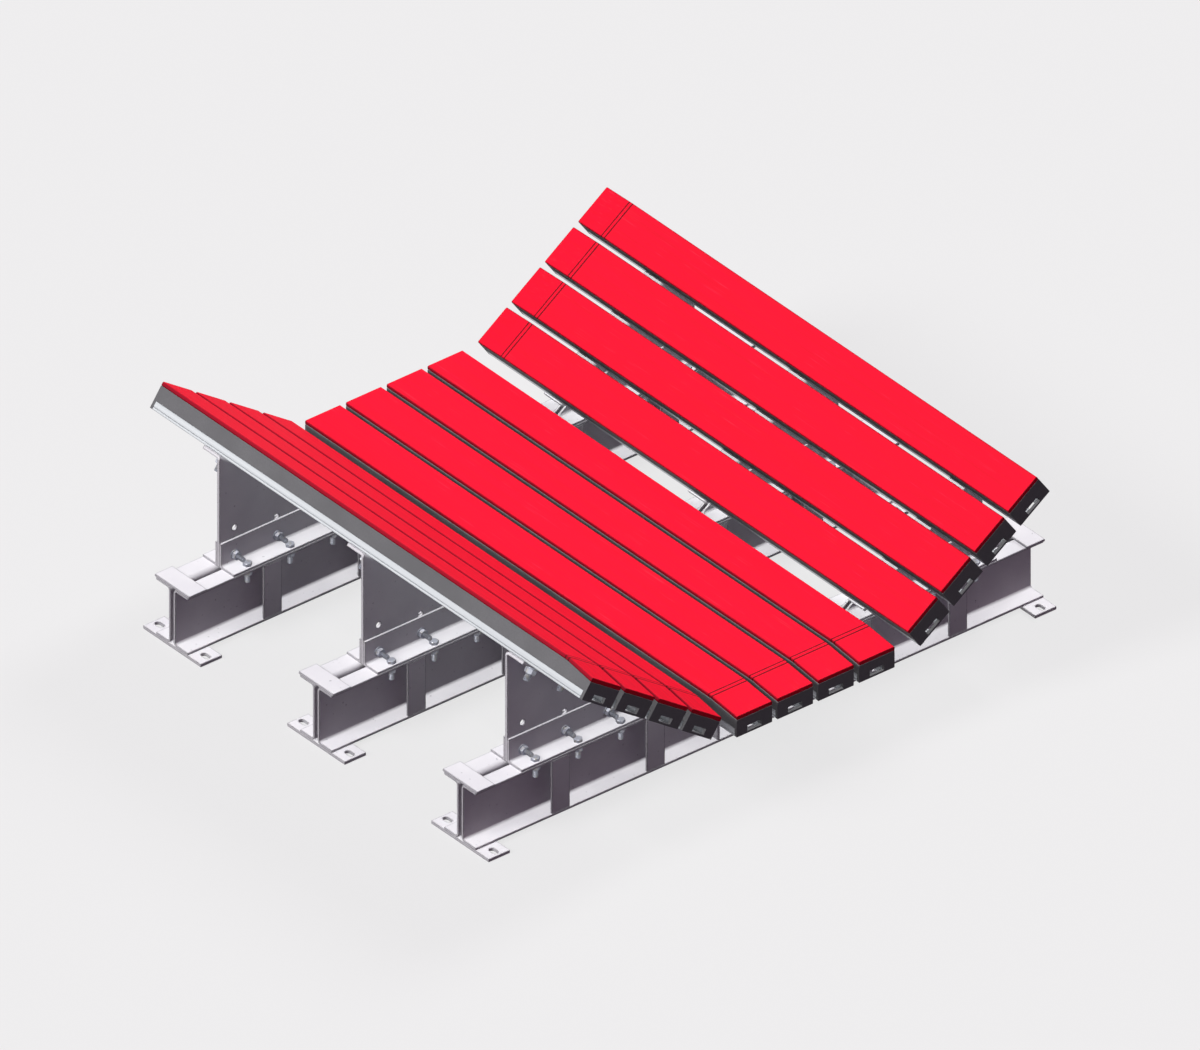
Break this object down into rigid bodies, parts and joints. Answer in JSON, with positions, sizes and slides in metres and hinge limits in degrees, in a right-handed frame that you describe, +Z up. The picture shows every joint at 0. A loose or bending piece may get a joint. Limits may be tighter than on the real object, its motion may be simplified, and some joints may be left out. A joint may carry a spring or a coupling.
{
  "type": "conveyor impact bed",
  "caption": "Troughed conveyor impact bed: red-faced rubber impact bars in T-slot tracks on bolted channel-steel cross beams, flat in the middle and tilted on two wings.",
  "frame": {"origin": "on the floor, under the middle of the bed", "axes": "+X along the bars, towards the lead-in end of the centre bars; +Y across the bed; +Z up"},
  "size_m": [1.5, 1.6, 0.4961],
  "materials": {
    "red_polyethylene": "skived ultra-high-molecular-weight polyethylene, satin",
    "black_rubber": "moulded shock-absorbing rubber, matt",
    "extruded_aluminium": "extruded, fine die lines along the bar",
    "painted_steel": "light grey paint on rolled and folded steel, satin",
    "zinc_plated_steel": "bright zinc plating with a bluish cast"
  },
  "bodies": {
    "support_frame": {"rear_beam_back_channel": "painted_steel", "rear_beam_front_channel": "painted_steel", "middle_beam_back_channel": "painted_steel", "middle_beam_front_channel": "painted_steel", "front_beam_back_channel": "painted_steel", "front_beam_front_channel": "painted_steel", "rear_left_wing_plate": "painted_steel", "rear_right_wing_plate": "painted_steel", "middle_left_wing_plate": "painted_steel", "middle_right_wing_plate": "painted_steel", "front_left_wing_plate": "painted_steel", "front_right_wing_plate": "painted_steel", "rear_wing_angles": "painted_steel", "middle_wing_angles": "painted_steel", "front_wing_angles": "painted_steel", "foot_plates": "painted_steel", "tie_plates": "painted_steel", "saddle_plates": "painted_steel", "flange_strips": "painted_steel", "web_stiffeners": "painted_steel", "t_bolts": "zinc_plated_steel", "t_bolt_nuts": "zinc_plated_steel"},
    "left_bar_1": {"left_bar_1_wear_strip": "red_polyethylene", "left_bar_1_rubber": "black_rubber", "left_bar_1_track": "extruded_aluminium"},
    "left_bar_2": {"left_bar_2_wear_strip": "red_polyethylene", "left_bar_2_rubber": "black_rubber", "left_bar_2_track": "extruded_aluminium"},
    "left_bar_3": {"left_bar_3_wear_strip": "red_polyethylene", "left_bar_3_rubber": "black_rubber", "left_bar_3_track": "extruded_aluminium"},
    "left_bar_4": {"left_bar_4_wear_strip": "red_polyethylene", "left_bar_4_rubber": "black_rubber", "left_bar_4_track": "extruded_aluminium"},
    "centre_bar_1": {"centre_bar_1_wear_strip": "red_polyethylene", "centre_bar_1_rubber": "black_rubber", "centre_bar_1_track": "extruded_aluminium"},
    "centre_bar_2": {"centre_bar_2_wear_strip": "red_polyethylene", "centre_bar_2_rubber": "black_rubber", "centre_bar_2_track": "extruded_aluminium"},
    "centre_bar_3": {"centre_bar_3_wear_strip": "red_polyethylene", "centre_bar_3_rubber": "black_rubber", "centre_bar_3_track": "extruded_aluminium"},
    "centre_bar_4": {"centre_bar_4_wear_strip": "red_polyethylene", "centre_bar_4_rubber": "black_rubber", "centre_bar_4_track": "extruded_aluminium"},
    "right_bar_1": {"right_bar_1_wear_strip": "red_polyethylene", "right_bar_1_rubber": "black_rubber", "right_bar_1_track": "extruded_aluminium"},
    "right_bar_2": {"right_bar_2_wear_strip": "red_polyethylene", "right_bar_2_rubber": "black_rubber", "right_bar_2_track": "extruded_aluminium"},
    "right_bar_3": {"right_bar_3_wear_strip": "red_polyethylene", "right_bar_3_rubber": "black_rubber", "right_bar_3_track": "extruded_aluminium"},
    "right_bar_4": {"right_bar_4_wear_strip": "red_polyethylene", "right_bar_4_rubber": "black_rubber", "right_bar_4_track": "extruded_aluminium"}
  },
  "joints": [
    {"name": "left_bar_1_slide", "type": "slide", "parent": "support_frame", "child": "left_bar_1", "axis": [1, 0, 0], "range_m": [-0.19, 0.19]},
    {"name": "left_bar_2_slide", "type": "slide", "parent": "support_frame", "child": "left_bar_2", "axis": [1, 0, 0], "range_m": [-0.19, 0.19]},
    {"name": "left_bar_3_slide", "type": "slide", "parent": "support_frame", "child": "left_bar_3", "axis": [1, 0, 0], "range_m": [-0.19, 0.19]},
    {"name": "left_bar_4_slide", "type": "slide", "parent": "support_frame", "child": "left_bar_4", "axis": [1, 0, 0], "range_m": [-0.19, 0.19]},
    {"name": "centre_bar_1_slide", "type": "slide", "parent": "support_frame", "child": "centre_bar_1", "axis": [1, 0, 0], "range_m": [-0.19, 0.19]},
    {"name": "centre_bar_2_slide", "type": "slide", "parent": "support_frame", "child": "centre_bar_2", "axis": [1, 0, 0], "range_m": [-0.19, 0.19]},
    {"name": "centre_bar_3_slide", "type": "slide", "parent": "support_frame", "child": "centre_bar_3", "axis": [1, 0, 0], "range_m": [-0.19, 0.19]},
    {"name": "centre_bar_4_slide", "type": "slide", "parent": "support_frame", "child": "centre_bar_4", "axis": [1, 0, 0], "range_m": [-0.19, 0.19]},
    {"name": "right_bar_1_slide", "type": "slide", "parent": "support_frame", "child": "right_bar_1", "axis": [1, 0, 0], "range_m": [-0.19, 0.19]},
    {"name": "right_bar_2_slide", "type": "slide", "parent": "support_frame", "child": "right_bar_2", "axis": [1, 0, 0], "range_m": [-0.19, 0.19]},
    {"name": "right_bar_3_slide", "type": "slide", "parent": "support_frame", "child": "right_bar_3", "axis": [1, 0, 0], "range_m": [-0.19, 0.19]},
    {"name": "right_bar_4_slide", "type": "slide", "parent": "support_frame", "child": "right_bar_4", "axis": [1, 0, 0], "range_m": [-0.19, 0.19]}
  ]
}
